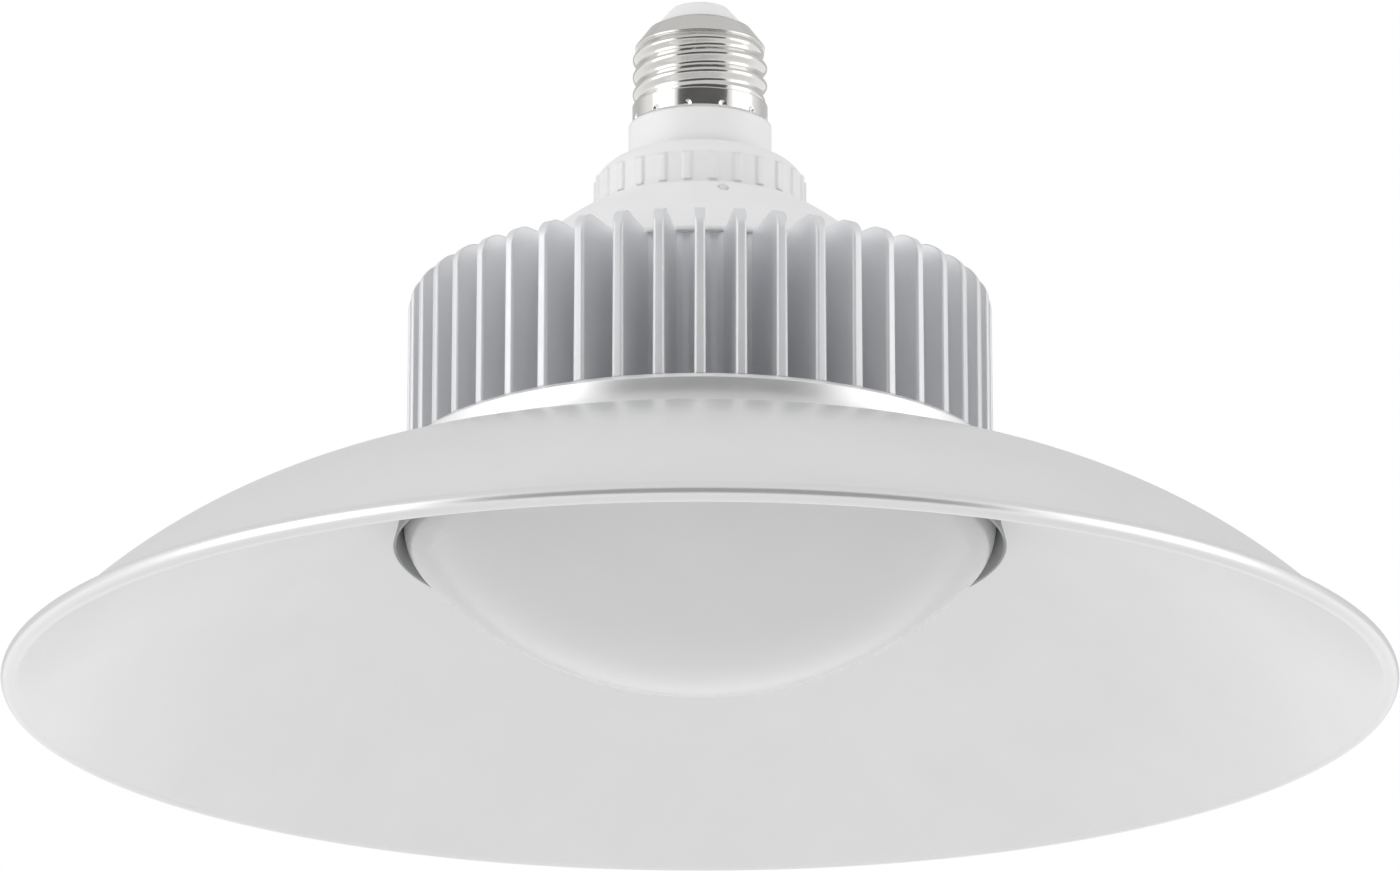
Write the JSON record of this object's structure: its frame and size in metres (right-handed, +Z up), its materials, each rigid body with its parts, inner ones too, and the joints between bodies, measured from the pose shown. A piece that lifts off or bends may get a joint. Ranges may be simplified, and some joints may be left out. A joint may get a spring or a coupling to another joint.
{
  "type": "led garage light",
  "caption": "Round ceiling light: screw cap, ribbed collar, domed driver cover, finned heat sink, opal dome and a shallow spun shade with a curled rim. Screws into a lampholder.",
  "frame": {"origin": "on the lamp axis where the screw cap's skirt meets the neck", "axes": "+Z up along the lamp axis to the cap's tip, -Y to the front, +X to the right seen from the front"},
  "size_m": [0.268, 0.268, 0.1407],
  "materials": {
    "nickel": "polished nickel plate",
    "contact_metal": "dull tinned brass",
    "white_plastic": "fine satin",
    "cast_aluminium": "satin, as cast and tumbled",
    "turned_aluminium": "bright turned",
    "spun_aluminium": "light satin",
    "opal": "opal, translucent, satin",
    "screw_steel": "zinc plate",
    "pad_grey": "matte",
    "board_white": "white solder mask",
    "phosphor": "satin",
    "board_green": "solder mask",
    "liner_white": "satin",
    "package_black": "satin",
    "tape_yellow": "satin tape",
    "sleeve_dark": "shrink sleeve",
    "film_red": "dipped",
    "copper_winding": "enamelled wire",
    "fuse_body": "satin",
    "disc_blue": "dipped",
    "wire_brown": "satin sleeve",
    "wire_white": "satin sleeve"
  },
  "bodies": {
    "root": {"screw_shell": "nickel", "cap_insulator": "white_plastic", "tip_contact": "contact_metal", "cap_holder": "white_plastic", "driver_cover": "white_plastic", "lock_screw": "white_plastic", "heatsink": "cast_aluminium", "mounting_ring": "turned_aluminium", "shade": "spun_aluminium", "diffuser_dome": "opal", "dome_ring": "liner_white", "clamp_screws": "screw_steel", "thermal_pad": "pad_grey", "led_board": "board_white", "led_chips": "phosphor", "led_connector": "white_plastic", "led_board_screws": "screw_steel", "driver_liner": "liner_white", "driver_board": "board_green", "driver_board_screws": "screw_steel", "transformer": "tape_yellow", "input_capacitor": "sleeve_dark", "output_capacitor": "sleeve_dark", "film_capacitor": "film_red", "choke": "copper_winding", "bridge_rectifier": "package_black", "fuse": "fuse_body", "varistor": "disc_blue", "switch_transistor": "package_black", "driver_chip": "package_black", "live_wire": "wire_brown", "neutral_wire": "wire_white", "led_wires": "wire_white"}
  },
  "joints": []
}
